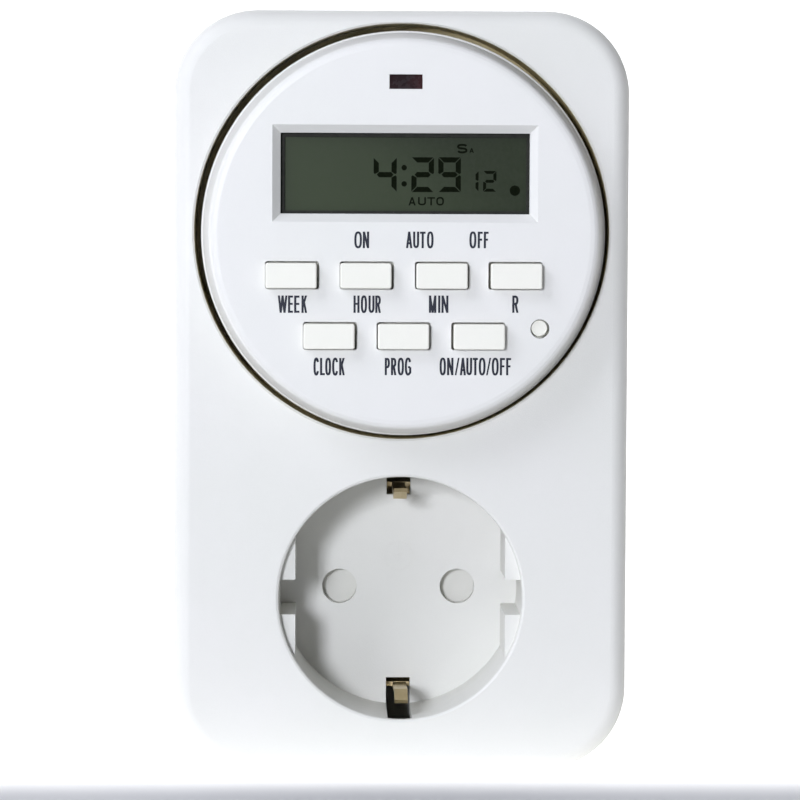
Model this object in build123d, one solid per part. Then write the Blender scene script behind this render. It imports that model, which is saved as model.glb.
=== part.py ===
from build123d import *
import math
import os

# Plug-in digital weekly timer: a Schuko socket adaptor with a round timer module.
# Millimetres. The front faces -Y, +Z is up, and the plug goes into the wall along +Y.
# The origin is the centre of the plug's end face, on the common axis of plug and socket.

# ---- housing
W = 71.0                      # width
Z_TOP, Z_BOT = 91.8, -27.2    # height 119
CORNER_R = 13.0               # plan corners
EDGE_R = 2.5                  # front and back edge rounding
WALL = 2.2
Y_FACE = -53.0                # front face of the housing
Y_PART = -26.0                # parting plane between the two shells
Y_BACK = -17.0                # rear plane around the plug
LIP_T, LIP_H = 1.0, 1.6       # locating lip at the parting plane

# ---- socket well
WELL_R = 19.1
WELL_DEPTH = 17.5
WELL_WALL = 1.8
FLOOR_T = 2.0
PIN_X = 9.5                   # half of the 19 mm pin spacing
PIN_HOLE_R = 2.8
GUIDE_X = 16.5                # guide chord half distance
GUIDE_TOP = 1.8               # guides start this far below the rim
GUIDE_SLOT = 5.5
EARTH_SLOT_W = 3.85
EARTH_SLOT_IN = 14.85
EARTH_SLOT_TOP = 0.8          # skin left under the rim

# ---- plug
PLUG_R = 18.3
PLUG_PIN_R = 2.4
PLUG_PIN_L = 19.0
PLUG_PIN_TIP = 1.4
PLUG_PIN_NECK_R = 2.1         # where the pin is moulded into the plug's end wall
PIN_RECESS = (3.6, 0.4)       # radius and depth of the recess round each pin
PLUG_WALL = 2.0
PLUG_FLAT_X = 16.0
PLUG_RIB = 4.8

# ---- timer module
OPEN_R, OPEN_Z = 32.36, 57.4  # opening in the housing
COLLAR_WALL = 1.8
SHELF_Y0, SHELF_Y1 = -41.2, -39.4
DX, DZ = 0.22, 57.1           # module axis: it sits a little off the opening's centre
DISC_R = 31.5
DISC_TOP_R = 28.8
DISC_Y = -59.0                # front of the module
DISC_T = 2.0

# ---- display and keys, measured from the module axis
LCD_C = (0.15, 9.34)
LCD_WIN = (38.45, 12.45)
LCD_BEZEL = (40.95, 14.95)
LED_C = (0.19, 23.43)
LED_WIN = (5.1, 2.25)
KEY_OPEN = (8.35, 4.3)
KEY_CAP = (7.9, 3.92)
KEY_Y = -60.6                 # front of the raised key caps
KEY_TRAVEL = 0.9
KEYS = {
    "week_key": (-17.26, -6.34),
    "hour_key": (-5.75, -6.34),
    "minute_key": (5.85, -6.34),
    "random_key": (17.19, -6.34),
    "clock_key": (-11.40, -15.69),
    "program_key": (-0.03, -15.69),
    "mode_key": (11.49, -15.69),
}
# the loose caps sit off the centres of their openings by this much
KEY_SHIFT = {
    "week_key": (-0.14, -0.06),
    "hour_key": (-0.15, -0.06),
    "minute_key": (-0.01, -0.06),
    "random_key": (0.13, -0.06),
    "clock_key": (-0.14, -0.05),
    "program_key": (-0.03, -0.05),
    "mode_key": (0.14, -0.05),
}
RESET_SHIFT = (-0.1, 0.1)
RESET_C = (21.03, -14.52)
RESET_HOLE_R, RESET_R = 1.475, 1.25
RESET_Y = -58.65
RESET_TRAVEL = 0.6

CZ = (Z_TOP + Z_BOT) / 2
Y_FLOOR = Y_FACE + WELL_DEPTH          # bottom of the well
Y_FLOOR_BACK = Y_FLOOR + FLOOR_T

# ---- depth stack inside the module
Y_WALL_IN = DISC_Y + DISC_T            # inner face of the module's front wall
Y_BOARD0, Y_BOARD1 = -52.6, -51.0      # control board
Y_MODBACK0, Y_MODBACK1 = -43.1, -41.5

# ---- screws
SCREW_XZ = [(-28.5, 84.8), (28.5, 84.8), (-28.5, -20.0), (28.5, -20.0)]
MODULE_SCREW_R, MODULE_SCREW_ANGLES = 27.0, [70, 110, 250, 290]
CARRIER_SCREW_X = 25.5
BOARD_SCREW_XZ = [(-27.5, 28.0), (27.5, 28.0), (-27.5, 76.5), (27.5, 76.5)]

# ---- power board, component side towards the front
PB_Y0, PB_Y1 = -22.4, -20.8
PB_X, PB_Z0, PB_Z1 = 30.5, 24.0, 80.3


def box(x0, x1, y0, y1, z0, z1):
    return Pos((x0 + x1) / 2, (y0 + y1) / 2, (z0 + z1) / 2) * Box(
        abs(x1 - x0), abs(y1 - y0), abs(z1 - z0))


def cyl(x, z, r, y0, y1):
    """Cylinder along Y."""
    return Pos(x, (y0 + y1) / 2, z) * Rot(90, 0, 0) * Cylinder(r, abs(y1 - y0))


def cone(x, z, r0, r1, y0, y1):
    """Cone along Y with radius r0 at y0 and r1 at y1, y0 < y1."""
    return Pos(x, (y0 + y1) / 2, z) * Rot(90, 0, 0) * Cone(r1, r0, y1 - y0)


def plane_at(x, y, z):
    return Plane(origin=(x, y, z), x_dir=(1, 0, 0), z_dir=(0, -1, 0))


def rr(x, z, w, h, r, y0, y1):
    """Rounded rectangle in XZ, from y0 to y1 (y0 < y1)."""
    return extrude(plane_at(x, y1, z) * RectangleRounded(w, h, r), amount=y1 - y0)


def turned(x, z, points):
    """Solid of revolution about the axis along Y through (x, z); points are (r, y)."""
    face = make_face(Polyline(*[(r, y) for r, y in points], close=True))
    # sketch (r, y) lies in XY; turn about the Y axis
    return Pos(x, 0, z) * revolve(face, axis=Axis.Y)


def front_edges(solid, y):
    return [e for e in solid.edges() if abs(e.center().Y - y) < 1e-3
            and abs(e.bounding_box().size.Y) < 1e-4]


def strip(points, t, x0, x1):
    """Sheet-metal strip: a bent centre line in (z, y) of thickness t, from x0 to x1."""
    n = len(points)
    left, right = [], []
    for i, (z, y) in enumerate(points):
        dirs = []
        if i > 0:
            a, b = points[i - 1], points[i]
            d = math.hypot(b[0] - a[0], b[1] - a[1])
            dirs.append(((b[0] - a[0]) / d, (b[1] - a[1]) / d))
        if i < n - 1:
            a, b = points[i], points[i + 1]
            d = math.hypot(b[0] - a[0], b[1] - a[1])
            dirs.append(((b[0] - a[0]) / d, (b[1] - a[1]) / d))
        normals = [(-v, u) for u, v in dirs]
        nz, ny = sum(k[0] for k in normals), sum(k[1] for k in normals)
        size = math.hypot(nz, ny)
        nz, ny = nz / size, ny / size
        cosine = nz * normals[0][0] + ny * normals[0][1]
        off = t / 2 / cosine
        left.append((z + nz * off, y + ny * off))
        right.append((z - nz * off, y - ny * off))
    outline = left + right[::-1]
    face = make_face(Polyline(*[(x0, y, z) for z, y in outline], close=True))
    return extrude(face, amount=x1 - x0, dir=(1, 0, 0))


def tube(points, r, radii):
    """Round wire along straight runs joined by tangent arcs."""
    path = FilletPolyline(*points, radius=radii) if len(points) > 2 else Line(*points)
    start = path @ 0
    direction = path % 0
    return sweep(Plane(origin=start, z_dir=direction) * Circle(r), path=path)


def screw(x, z, r, y_tip, y_head, r_head, t_head, countersunk=False):
    """Screw driven towards -Y: its head is at the +Y end, with a cross recess."""
    body = cyl(x, z, r, y_tip + r * 0.8, y_head)
    body += cone(x, z, r * 0.25, r, y_tip, y_tip + r * 0.8)
    if countersunk:
        body += cone(x, z, r, r_head, y_head, y_head + t_head)
    else:
        head = cyl(x, z, r_head, y_head, y_head + t_head)
        head = fillet(front_edges(head, y_head + t_head), t_head * 0.45)
        body += head
    top = y_head + t_head
    arm, slot = r_head * 0.62, max(0.28, r_head * 0.11)
    deep = t_head * 0.55
    body -= box(x - arm, x + arm, top - deep, top + 1, z - slot, z + slot)
    body -= box(x - slot, x + slot, top - deep, top + 1, z - arm, z + arm)
    return body


parts = {}

# ------------------------------------------------------------------ front housing
outer = rr(0, CZ, W, Z_TOP - Z_BOT, CORNER_R, Y_FACE, Y_PART)
outer = fillet(front_edges(outer, Y_FACE), EDGE_R)
inner = rr(0, CZ, W - 2 * WALL, Z_TOP - Z_BOT - 2 * WALL, CORNER_R - WALL,
           Y_FACE + WALL, Y_PART + 1)
shell = outer - inner
# locating lip on the parting plane
lip = rr(0, CZ, W - 2 * (WALL - LIP_T), Z_TOP - Z_BOT - 2 * (WALL - LIP_T),
         CORNER_R - WALL + LIP_T, Y_PART - 1.0, Y_PART + LIP_H)
lip -= rr(0, CZ, W - 2 * WALL, Z_TOP - Z_BOT - 2 * WALL, CORNER_R - WALL,
          Y_PART - 2, Y_PART + LIP_H + 1)
for x, z in SCREW_XZ:
    lip -= cyl(x, z, 3.75, Y_PART - 0.1, Y_PART + LIP_H + 1)
shell += lip
shell += cyl(0, 0, WELL_R + WELL_WALL, Y_FACE + 1, Y_FLOOR_BACK)
collar = cyl(0, OPEN_Z, OPEN_R + COLLAR_WALL, Y_FACE + 1, SHELF_Y1)
collar = collar & outer
shell += collar
for x, z in SCREW_XZ:
    shell += cyl(x, z, 3.2, Y_FACE + 1.5, Y_PART)
for s in (-1, 1):
    shell += cyl(s * CARRIER_SCREW_X, 0, 2.8, Y_FACE + 1.5, -31.4)
    shell += box(s * 20.5, s * CARRIER_SCREW_X, Y_FACE + 1.5, -34.0, -0.6, 0.6)
# ribs tying the well cup to the dial collar and to the bottom wall
for x in (-9.0, 9.0):
    shell += box(x - 0.6, x + 0.6, Y_FACE + 1.5, -38.0, 19.0, 25.2)
    shell += box(x - 0.6, x + 0.6, Y_FACE + 1.5, -38.0, -26.0, -18.5)
# well, with a softly broken rim
rim = 0.45
well = cyl(0, 0, WELL_R, Y_FACE - 1, Y_FLOOR)
well += turned(0, 0, [(0, Y_FACE - 0.5), (WELL_R + rim + 0.21, Y_FACE - 0.5),
                      (WELL_R + rim, Y_FACE), (WELL_R + rim * 0.29, Y_FACE + rim * 0.29),
                      (WELL_R, Y_FACE + rim), (0, Y_FACE + rim)])
shell -= well
# two guide segments, each split by a central slot
guides = cyl(0, 0, WELL_R + 0.6, Y_FACE + GUIDE_TOP, Y_FLOOR + 0.5)
guides -= box(-GUIDE_X, GUIDE_X, Y_FACE - 1, Y_FLOOR + 1, -25, 25)
guides -= box(-25, 25, Y_FACE - 1, Y_FLOOR, -GUIDE_SLOT / 2, GUIDE_SLOT / 2)
shell += guides
# dial opening and the shelf behind it
shell -= cyl(0, OPEN_Z, OPEN_R, Y_FACE - 1, SHELF_Y0)
shell -= turned(0, OPEN_Z, [(0, Y_FACE - 0.5), (OPEN_R + 0.4, Y_FACE - 0.5),
                            (OPEN_R + 0.3, Y_FACE), (OPEN_R, Y_FACE + 0.3),
                            (0, Y_FACE + 0.3)])
shell -= cyl(DX, DZ, 24.0, SHELF_Y0 - 1, SHELF_Y1 + 1)
for a in MODULE_SCREW_ANGLES:
    x = DX + MODULE_SCREW_R * math.cos(math.radians(a))
    z = DZ + MODULE_SCREW_R * math.sin(math.radians(a))
    shell -= cyl(x, z, 1.25, SHELF_Y0 - 1, SHELF_Y1 + 1)
# pin holes and earth slots
for s in (-1, 1):
    shell -= cyl(s * PIN_X, 0, PIN_HOLE_R, Y_FLOOR - 1, Y_FLOOR_BACK + 1)
    shell -= box(-EARTH_SLOT_W / 2, EARTH_SLOT_W / 2, Y_FACE + EARTH_SLOT_TOP,
                 Y_FLOOR_BACK + 1, s * EARTH_SLOT_IN, s * 21.4)
# blind screw holes
for x, z in SCREW_XZ:
    shell -= cyl(x, z, 1.45, -44.0, Y_PART + 1)
for s in (-1, 1):
    shell -= cyl(s * CARRIER_SCREW_X, 0, 1.3, -43.0, -31.4 + 1)
# pivot of the shutter and the stop of its spring
shell += cyl(0, 0, 1.5, Y_FLOOR_BACK - 0.5, -31.5)
shell += box(3.9, 6.1, Y_FLOOR_BACK - 0.5, -31.5, -12.5, -11.5)
parts["front_housing"] = shell

# ------------------------------------------------------------------- rear housing
outer_r = rr(0, CZ, W, Z_TOP - Z_BOT, CORNER_R, Y_PART, Y_BACK)
outer_r = fillet(front_edges(outer_r, Y_BACK), EDGE_R)
inner_r = rr(0, CZ, W - 2 * WALL, Z_TOP - Z_BOT - 2 * WALL, CORNER_R - WALL,
             Y_PART - 1, Y_BACK - WALL)
rear = outer_r - inner_r
# rebate for the lip
rear -= rr(0, CZ, W - 2 * (WALL - LIP_T) + 0.1, Z_TOP - Z_BOT - 2 * (WALL - LIP_T) + 0.1,
           CORNER_R - WALL + LIP_T + 0.05, Y_PART - 1, Y_PART + LIP_H + 0.1)
# plug body
plug = cyl(0, 0, PLUG_R, Y_BACK - WALL, 0)
plug = fillet(front_edges(plug, 0), 0.8)
for s in (-1, 1):
    # side recesses that clear a socket's guides, each with a rib for its slot
    cut = box(s * PLUG_FLAT_X, s * 25, Y_BACK + 0.6, 1, -10.4, 10.4)
    cut -= box(s * (PLUG_FLAT_X - 1), s * 26, Y_BACK - 1, 2, -PLUG_RIB / 2, PLUG_RIB / 2)
    plug -= cut
    # recess for the earth contact
    plug -= box(-2.7, 2.7, Y_BACK + 0.2, -0.8, s * 15.9, s * 20)
rear += plug
hollow = cyl(0, 0, PLUG_R - 2.6, Y_PART, -PLUG_WALL) & box(-13.6, 13.6, -40, 5, -13.6, 13.6)
rear -= hollow
# screw bosses from the rear wall
for x, z in SCREW_XZ:
    rear += cyl(x, z, 3.6, Y_PART, Y_BACK - WALL + 0.5)
    rear -= cyl(x, z, 1.6, Y_PART - 1, Y_BACK + 1)
    rear -= cone(x, z, 1.6, 3.1, Y_BACK - 1.8, Y_BACK) + cyl(x, z, 3.1, Y_BACK, Y_BACK + 1)
# bosses of the power board
for x, z in BOARD_SCREW_XZ:
    rear += cyl(x, z, 2.4, PB_Y1, Y_BACK - WALL + 0.5)
    rear -= cyl(x, z, 0.95, PB_Y1 - 1, Y_BACK - 0.9)
# pin holes in the plug's end wall, slots for the earth strips
for s in (-1, 1):
    rear -= cyl(s * PIN_X, 0, PLUG_PIN_NECK_R + 0.03, -PLUG_WALL - 1, 1)
    rear -= cyl(s * PIN_X, 0, PIN_RECESS[0], -PIN_RECESS[1], 1)
    rear -= box(-2.4, 2.4, Y_BACK - WALL - 1, Y_BACK + 0.5, s * 15.75, s * 16.85)
# shallow moulded panel on the back
rear -= rr(0, 56.0, 46, 40, 3, Y_BACK - 0.4, Y_BACK + 1)
parts["rear_housing"] = rear

parts["housing_screws"] = Compound(children=[
    screw(x, z, 1.4, -43.0, Y_BACK - 1.7, 2.9, 1.5, countersunk=True)
    for x, z in SCREW_XZ])

# ------------------------------------------------------------------------ plug pins
def plug_pin(x):
    pin = cyl(x, 0, PLUG_PIN_R, 0, PLUG_PIN_L)
    pin = fillet(front_edges(pin, PLUG_PIN_L), PLUG_PIN_TIP)
    pin += cyl(x, 0, PLUG_PIN_NECK_R, -PLUG_WALL, 0)
    pin += cyl(x, 0, 3.4, -4.0, -PLUG_WALL)
    pin += cyl(x, 0, 2.0, -8.0, -4.0)
    return pin


line_pin = plug_pin(-PIN_X)
line_pin += box(-PIN_X - 2.4, -PIN_X + 2.4, -8.8, -8.0, -8.0, 2.6)
parts["line_plug_pin"] = line_pin
neutral_pin = plug_pin(PIN_X)
neutral_pin += cyl(PIN_X, 0, 2.0, -14.0, -8.0)
parts["neutral_plug_pin"] = neutral_pin

# ------------------------------------------------------------------ earth contacts
def earth_clip(s):
    # narrow spring end in the well: tip, bulge, straight run through the floor slot
    thin = strip([(s * 16.75, -49.6), (s * 15.45, -46.6), (s * 15.75, -42.0),
                  (s * 16.3, -34.0), (s * 16.3, -31.0)], 0.6, -1.05, 1.05)
    wide = strip([(s * 16.3, -32.6), (s * 16.3, -1.4)], 0.7, -2.25, 2.25)
    return Pos(0.25 if s < 0 else 0, 0, 0) * thin + wide


parts["upper_earth_clip"] = earth_clip(1)
parts["lower_earth_clip"] = earth_clip(-1)
# strap joining the two earth strips, dog-legged clear of the pins
bridge = box(-2.0, 2.0, -24.0, -23.3, -15.94, 15.94)
bridge += box(-2.0, 2.0, -26.4, -23.3, 15.34, 15.94)
bridge += box(-2.0, 2.0, -26.4, -23.3, -15.94, -15.34)
parts["earth_bridge"] = bridge

# -------------------------------------------------------- socket contacts and carrier
def tulip(x, y_back):
    body = cyl(x, 0, 3.3, -29.0, y_back) - cyl(x, 0, 2.45, -29.5, y_back - 0.8)
    body -= box(x - 0.45, x + 0.45, -30, -20.5, -4, 4)
    body -= box(x - 4, x + 4, -30, -20.5, -0.45, 0.45)
    return body


line_contact = tulip(-PIN_X, -14.6) + box(-PIN_X - 2.4, -PIN_X + 2.4, -15.4, -14.6, 2.0, 7.5)
parts["line_socket_contact"] = line_contact
neutral_contact = tulip(PIN_X, -14.0) + box(PIN_X - 2.4, PIN_X + 2.4, -14.8, -14.0, 2.0, 7.5)
parts["neutral_socket_contact"] = neutral_contact

carrier = rr(0, 0, 57.4, 15.6, 3.0, -31.4, -29.6)
carrier -= cyl(0, 0, 1.9, -32, -29)
for s in (-1, 1):
    carrier += cyl(s * PIN_X, 0, 4.6, -30.0, -22.0)
    carrier -= cyl(s * PIN_X, 0, 3.4, -29.1, -21.0)
    carrier -= cyl(s * PIN_X, 0, 2.75, -32.0, -29.0)
    carrier -= cyl(s * CARRIER_SCREW_X, 0, 1.5, -32.0, -29.0)
    # the carrier's webs, either side of the earth strap
    carrier += box(s * 3.4, s * 5.4, -29.9, -24.6, -6.0, 6.0)
carrier -= cyl(-PIN_X, 0, 3.4, -29.1, -21.0) + cyl(PIN_X, 0, 3.4, -29.1, -21.0)
parts["contact_carrier"] = carrier
parts["carrier_screws"] = Compound(children=[
    screw(s * CARRIER_SCREW_X, 0, 1.25, -41.0, -29.6, 2.4, 1.5) for s in (-1, 1)])

# --------------------------------------------------------------------------- shutter
shutter = cyl(0, 0, 13.4, -33.3, -31.7) & box(-20, 20, -34, -31, -3.7, 3.7)
shutter += cyl(0, 0, 4.4, -33.3, -31.7)
shutter -= cyl(0, 0, 1.56, -34, -31)
for s in (-1, 1):
    # ramp that a pin slides down to turn the shutter
    ramp = Pos(0, -33.3, -3.7 if s > 0 else 3.7) * Rot(18 if s > 0 else -18, 0, 0) * box(
        s * 6.6, s * 12.4, -2, 0, -6, 6)
    shutter -= ramp & box(-20, 20, -33.4, -32.4, -3.8, 3.8)
parts["safety_shutter"] = shutter

coil_r, coil_wire, coil_turns, coil_len = 0.72, 0.15, 6, 7.3
coil = sweep(Plane(origin=(coil_r, 0, 0), z_dir=(0, 1, coil_len / coil_turns / (2 * math.pi * coil_r))) * Circle(coil_wire),
             path=Helix(pitch=coil_len / coil_turns, height=coil_len, radius=coil_r), is_frenet=True)
parts["shutter_spring"] = Pos(5.0, -32.45, -11.5 + 0.17) * coil

# ----------------------------------------------------------------------- power board
board = rr(0, (PB_Z0 + PB_Z1) / 2, 2 * PB_X, PB_Z1 - PB_Z0, 1.5, PB_Y0, PB_Y1)
for x, z in BOARD_SCREW_XZ:
    board -= cyl(x, z, 1.2, PB_Y0 - 1, PB_Y1 + 1)
parts["power_board"] = board
parts["board_screws"] = Compound(children=[
    Pos(0, 0, 0) * (Rot(0, 0, 180) * screw(-x, z, 0.9, 18.2, -PB_Y0, 1.8, 1.0))
    for x, z in BOARD_SCREW_XZ])

# ----------------------------------------------------------------------------- relay
RX0, RX1, RZ0, RZ1 = -27.5, -8.5, 49.5, 65.0    # case outline 19 x 15.5
RZC = (RZ0 + RZ1) / 2
R_TOP = PB_Y0 - 15.2
hinge_x = RX0 + 2.1
core_x = hinge_x + 5.5
base = box(RX0, RX1, PB_Y0 - 1.4, PB_Y0, RZ0, RZ1)
base += box(RX0 + 0.85, RX1 - 0.85, PB_Y0 - 2.0, PB_Y0 - 1.4, RZ0 + 0.85, RZ1 - 0.85)
parts["relay_base"] = base
case = box(RX0, RX1, R_TOP, PB_Y0 - 1.4, RZ0, RZ1)
case = fillet(case.edges().filter_by(Axis.Y), 0.6)
case -= box(RX0 + 0.8, RX1 - 0.8, R_TOP + 0.8, PB_Y0, RZ0 + 0.8, RZ1 - 0.8)
parts["relay_case"] = case
y_yoke = PB_Y0 - 2.0                              # underside of the yoke
yoke = box(hinge_x - 1.0, core_x + 3.0, y_yoke - 1.0, y_yoke, RZC - 3.5, RZC + 3.5)
yoke += box(hinge_x - 1.0, hinge_x, -34.35, y_yoke, RZC - 3.5, RZC + 3.5)
yoke += cyl(core_x, RZC, 1.6, -33.9, y_yoke - 0.5)
parts["relay_yoke"] = yoke
bobbin = rr(core_x, RZC, 10.0, 10.4, 1.0, -33.3, -32.5) + rr(
    core_x, RZC, 10.0, 10.4, 1.0, y_yoke - 1.85, y_yoke - 1.05)
bobbin += cyl(core_x, RZC, 2.3, -33.0, y_yoke - 1.4)
bobbin -= cyl(core_x, RZC, 1.63, -34, y_yoke)
parts["relay_bobbin"] = bobbin
parts["relay_winding"] = cyl(core_x, RZC, 4.5, -32.5, y_yoke - 1.85) - cyl(
    core_x, RZC, 2.3, -33, y_yoke - 1)
parts["relay_armature"] = box(hinge_x - 0.7, core_x + 4.2, -35.4, -34.4, RZC - 3.3, RZC + 3.3)
tip_x = hinge_x + 13.4
spring_strip = box(hinge_x + 5.0, tip_x + 1.4, -35.7, -35.45, RZC - 1.6, RZC + 1.6)
spring_strip += box(hinge_x + 6.0, hinge_x + 8.4, -35.46, -35.4, RZC - 1.2, RZC + 1.2)
spring_strip += cyl(tip_x, RZC, 1.1, -36.0, -35.7) + cyl(tip_x, RZC, 1.1, -35.45, -35.15)
parts["relay_contact_spring"] = spring_strip
# fixed contacts: normally closed above the tip, normally open below it
nc = box(tip_x - 1.6, RX1 - 1.0, -36.65, -36.35, RZC - 1.8, RZC + 1.8)
nc += cyl(tip_x, RZC, 1.1, -36.35, -36.05)
nc += box(RX1 - 1.3, RX1 - 1.0, -36.65, PB_Y0 - 2.0, RZC - 1.8, RZC + 1.8)
no = cyl(tip_x, RZC, 1.1, -34.25, -33.95) + box(tip_x - 1.3, tip_x + 1.6, -33.95, -33.65, RZC - 1.8, RZC + 1.8)
no += box(tip_x + 1.3, tip_x + 1.6, -33.95, PB_Y0 - 2.0, RZC - 1.8, RZC + 1.8)
parts["relay_fixed_contacts"] = Compound(children=[nc, no])

# -------------------------------------------------------------- other power components
cap = box(8.0, 26.0, PB_Y0 - 14.0, PB_Y0, 62.0, 70.5)
cap = fillet(cap.edges().filter_by(Axis.Y), 0.8)
cap = fillet(front_edges(cap, PB_Y0 - 14.0), 0.8)
parts["film_capacitor"] = cap
can = cyl(-20.0, 36.5, 5.0, PB_Y0 - 15.5, PB_Y0)
can = fillet(front_edges(can, PB_Y0 - 15.5), 0.6)
groove = cyl(-20.0, 36.5, 6.0, PB_Y0 - 2.6, PB_Y0 - 1.9) - cyl(-20.0, 36.5, 4.6, PB_Y0 - 3, PB_Y0 - 1)
can -= groove
parts["electrolytic_capacitor"] = can
varistor = Pos(20.0, 0, 0) * Rot(0, 0, 0) * (
    Pos(0, PB_Y0 - 6.5, 50.0) * Cylinder(4.5, 3.4))
varistor = fillet(varistor.edges(), 1.0)
varistor += cyl(17.5, 50.0, 0.35, PB_Y0 - 5.0, PB_Y0) + cyl(22.5, 50.0, 0.35, PB_Y0 - 5.0, PB_Y0)
parts["varistor"] = varistor


def axial(x, y, z, r, length, span, along_x=True):
    """Axial component lying on the board on two bent leads."""
    rot = Rot(0, 90, 0) if along_x else Rot(0, 0, 0)
    body = Pos(x, y, z) * rot * Cylinder(r, length)
    body = fillet(body.edges(), r * 0.35)
    lead = Pos(x, y, z) * rot * Cylinder(0.3, span)
    for s in (-1, 1):
        lx, lz = (x + s * span / 2, z) if along_x else (x, z + s * span / 2)
        lead += cyl(lx, lz, 0.3, y, PB_Y0)
        lead += Pos(lx, y, lz) * Sphere(0.3)
    return body + lead


parts["rectifier_diodes"] = Compound(children=[
    axial(-1.5 + 4.2 * i, PB_Y0 - 1.6, 34.0, 1.3, 4.8, 9.0, along_x=False) for i in range(4)])
parts["resistors"] = Compound(children=[
    axial(18.5, PB_Y0 - 2.8, 57.0, 2.2, 9.0, 13.0),
    axial(22.0, PB_Y0 - 1.4, 43.5, 1.1, 6.0, 9.5),
    axial(22.0, PB_Y0 - 1.4, 39.5, 1.1, 6.0, 9.5),
    axial(22.0, PB_Y0 - 1.4, 35.5, 1.1, 6.0, 9.5)])
fuse = Pos(17.0, PB_Y0 - 3.2, 75.5) * Rot(0, 90, 0) * Cylinder(2.2, 8.0)
fuse = fillet(fuse.edges(), 0.5)
fuse += Pos(17.0, PB_Y0 - 3.2, 75.5) * Rot(0, 90, 0) * Cylinder(0.35, 12.0)
for s in (-1, 1):
    fuse += cyl(17.0 + s * 6.0, 75.5, 0.35, PB_Y0 - 3.2, PB_Y0)
    fuse += Pos(17.0 + s * 6.0, PB_Y0 - 3.2, 75.5) * Sphere(0.35)
parts["thermal_fuse"] = fuse
to92 = cyl(-3.5, 44.0, 2.3, PB_Y0 - 7.0, PB_Y0 - 2.4) - box(-7, 0, PB_Y0 - 8, PB_Y0, 45.2, 48)
for dx in (-1.27, 0, 1.27):
    to92 += box(-3.5 + dx - 0.22, -3.5 + dx + 0.22, PB_Y0 - 2.6, PB_Y0, 43.8, 44.2)
parts["relay_transistor"] = to92

# ---------------------------------------------------------------------------- wires
parts["line_in_wire"] = tube(
    [(-PIN_X, -8.8, -6.6), (-PIN_X, -20.8, -6.6), (-19.5, -23.6, -2.5), (-21.0, -26.0, 18.0),
     (-21.0, -27.6, 27.5), (-21.0, PB_Y0, 27.5)], 0.9, [2.6, 3.6, 4.0, 1.6])
parts["switched_line_wire"] = tube(
    [(-PIN_X, -15.4, 6.4), (-PIN_X, -24.6, 6.4), (-12.0, -27.0, 19.0), (-12.0, -27.4, 27.5),
     (-12.0, PB_Y0, 27.5)], 0.9, [2.6, 3.2, 1.6])
parts["neutral_wire"] = tube(
    [(PIN_X, -14.8, 6.4), (PIN_X, -24.6, 6.4), (11.0, -27.0, 19.0), (11.0, -27.4, 27.5),
     (11.0, PB_Y0, 27.5)], 0.9, [2.6, 3.2, 1.6])

# ------------------------------------------------------------------ module front shell
front = turned(DX, DZ, [
    (0, DISC_Y), (DISC_TOP_R, DISC_Y), (DISC_TOP_R + 0.62, DISC_Y + 0.07),
    (DISC_TOP_R + 1.02, DISC_Y + 0.24), (DISC_TOP_R + 1.3, DISC_Y + 0.6),
    (31.22, Y_FACE + 0.35), (31.42, Y_FACE + 0.5), (DISC_R, Y_FACE + 0.7),
    (DISC_R, Y_MODBACK1), (0, Y_MODBACK1)])
front -= cyl(DX, DZ, 28.3, Y_WALL_IN, Y_BOARD0)
front -= cyl(DX, DZ, 29.5, Y_BOARD0, Y_MODBACK1 + 1)
module_screw_xz = [(DX + MODULE_SCREW_R * math.cos(math.radians(a)),
                    DZ + MODULE_SCREW_R * math.sin(math.radians(a))) for a in MODULE_SCREW_ANGLES]
for x, z in module_screw_xz:
    boss = cyl(x, z, 2.2, Y_WALL_IN - 0.5, Y_MODBACK0)
    front += boss
    front -= cyl(x, z, 1.05, -53.5, Y_MODBACK0 + 1)
# display recess: sloping sides down to the window
lx, lz = DX + LCD_C[0], DZ + LCD_C[1]
bezel_depth = 1.1
recess = loft([
    plane_at(lx, DISC_Y - 0.2, lz) * Rectangle(LCD_BEZEL[0] + 0.45, LCD_BEZEL[1] + 0.45),
    plane_at(lx, DISC_Y + bezel_depth, lz) * Rectangle(LCD_WIN[0], LCD_WIN[1])])
front -= recess
front -= box(lx - LCD_WIN[0] / 2, lx + LCD_WIN[0] / 2, DISC_Y + bezel_depth - 0.01, Y_WALL_IN + 1,
             lz - LCD_WIN[1] / 2, lz + LCD_WIN[1] / 2)
ex, ez = DX + LED_C[0], DZ + LED_C[1]
front -= box(ex - LED_WIN[0] / 2, ex + LED_WIN[0] / 2, DISC_Y - 1, Y_WALL_IN + 1,
             ez - LED_WIN[1] / 2, ez + LED_WIN[1] / 2)
for kx, kz in KEYS.values():
    front -= rr(DX + kx, DZ + kz, KEY_OPEN[0], KEY_OPEN[1], 0.45, DISC_Y - 1, Y_WALL_IN + 1)
front -= cyl(DX + RESET_C[0], DZ + RESET_C[1], RESET_HOLE_R, DISC_Y - 1, Y_WALL_IN + 1)
parts["module_front"] = front

back = cyl(DX, DZ, 29.35, Y_MODBACK0, Y_MODBACK1)
for x, z in module_screw_xz:
    back -= cyl(x, z, 1.2, Y_MODBACK0 - 1, Y_MODBACK1 + 1)
back -= box(DX - 6.5, DX + 6.5, Y_MODBACK0 - 1, Y_MODBACK1 + 1, DZ - 16.5, DZ - 12.5)
# locating ring that enters the hole in the shelf
back += cyl(DX, DZ, 23.8, Y_MODBACK1 - 0.2, -40.4) - cyl(DX, DZ, 22.6, Y_MODBACK1 - 1, -40)
parts["module_back"] = back
parts["module_screws"] = Compound(children=[
    screw(x, z, 1.0, -48.5, SHELF_Y1, 2.0, 1.2) for x, z in module_screw_xz])

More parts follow.
